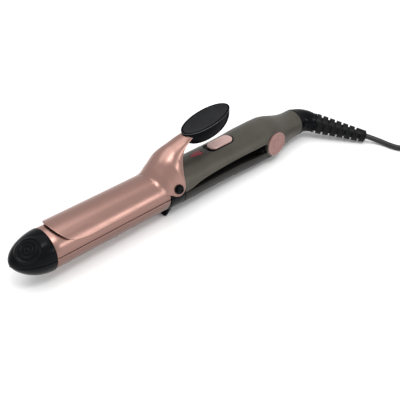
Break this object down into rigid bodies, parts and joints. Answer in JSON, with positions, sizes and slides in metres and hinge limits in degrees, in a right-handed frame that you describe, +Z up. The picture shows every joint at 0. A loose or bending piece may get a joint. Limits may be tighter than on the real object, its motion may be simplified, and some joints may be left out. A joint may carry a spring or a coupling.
{
  "type": "curling iron",
  "caption": "Hair curling iron with a sprung clamp over a barrel that also splits along its length and opens from a rear hinge as a straightener.",
  "frame": {"origin": "on the surface the iron stands on, under the middle of the iron's own box without its free cord and plug", "axes": "+X along the iron from the nose to the cord end, +Z up, -Y the side with the large hinge cap"},
  "size_m": [0.413, 0.1861, 0.0681],
  "materials": {
    "rose_metal": "satin rose gold coating",
    "rose_trim": "satin rose metallised plastic",
    "taupe_shell": "satin taupe",
    "gloss_black": "semi-gloss black, heat resistant",
    "satin_black": "satin black",
    "relief_rubber": "satin black, moulded ribs",
    "cord_rubber": "satin black sheath",
    "plug_plastic": "satin black",
    "tie_plastic": "satin black",
    "plate_ceramic": null,
    "steel": "plain steel",
    "lens_red": "tinted red lens",
    "board": "green circuit board",
    "pin_brass": "bright"
  },
  "bodies": {
    "upper_arm": {"tip_upper": "gloss_black", "barrel_upper": "rose_metal", "plate_upper": "plate_ceramic", "heater_upper": "steel", "heater_spring_upper": "steel", "thermal_fuse": "steel", "collar_upper": "gloss_black", "handle_upper": "taupe_shell", "liner_upper": "satin_black", "liner_screw_upper": "steel", "hinge_pin": "steel", "hinge_cap_near": "rose_trim", "hinge_cap_far": "rose_trim", "hinge_spring": "steel", "switch_bezel": "gloss_black", "switch_unit": "satin_black", "circuit_board": "board", "indicator_lens": "lens_red", "indicator_led": "lens_red", "clamp_screw_near": "gloss_black", "clamp_screw_far": "gloss_black", "clamp_spring": "steel", "cord_lead": "cord_rubber", "cord_tail": "cord_rubber", "cord_coil": "cord_rubber", "coil_tie": "tie_plastic", "plug_body": "plug_plastic", "plug_pin_near": "pin_brass", "plug_pin_far": "pin_brass"},
    "lower_arm": {"tip_lower": "gloss_black", "barrel_lower": "rose_metal", "plate_lower": "plate_ceramic", "heater_lower": "steel", "heater_spring_lower": "steel", "collar_lower": "gloss_black", "handle_lower": "taupe_shell", "liner_lower": "satin_black", "liner_screw_lower": "steel", "stand_pin": "steel"},
    "clamp": {"clamp": "rose_metal", "thumb_rest_base": "satin_black", "thumb_rest_pad": "satin_black"},
    "switch_button": {"switch_button": "rose_trim"},
    "stand": {"stand": "gloss_black"},
    "swivel": {"swivel_elbow": "gloss_black", "swivel_retainer": "steel", "strain_relief": "relief_rubber"}
  },
  "joints": [
    {"name": "arm_hinge", "type": "hinge", "parent": "upper_arm", "child": "lower_arm", "pos_m": [0.08364, 0.01614, 0.01902], "axis": [0, -1, 0], "range_deg": [0, 12]},
    {"name": "clamp_hinge", "type": "hinge", "parent": "upper_arm", "child": "clamp", "pos_m": [-0.02988, 0.01614, 0.02803], "axis": [0, 1, 0], "range_deg": [0, 12], "stiffness_Nm_per_rad": 0.8, "springref_deg": -25.78},
    {"name": "switch_slide", "type": "slide", "parent": "upper_arm", "child": "switch_button", "axis": [-0.9997, 0, 0.0239], "range_m": [0, 0.0034]},
    {"name": "stand_hinge", "type": "hinge", "parent": "lower_arm", "child": "stand", "pos_m": [-0.02948, 0.01614, 0.00702], "axis": [0, -1, 0], "range_deg": [0, 132]},
    {"name": "cord_swivel", "type": "hinge", "parent": "upper_arm", "child": "swivel", "pos_m": [0.12462, 0.01614, 0.01553], "axis": [-0.9997, 0, 0.0239], "continuous": true}
  ]
}
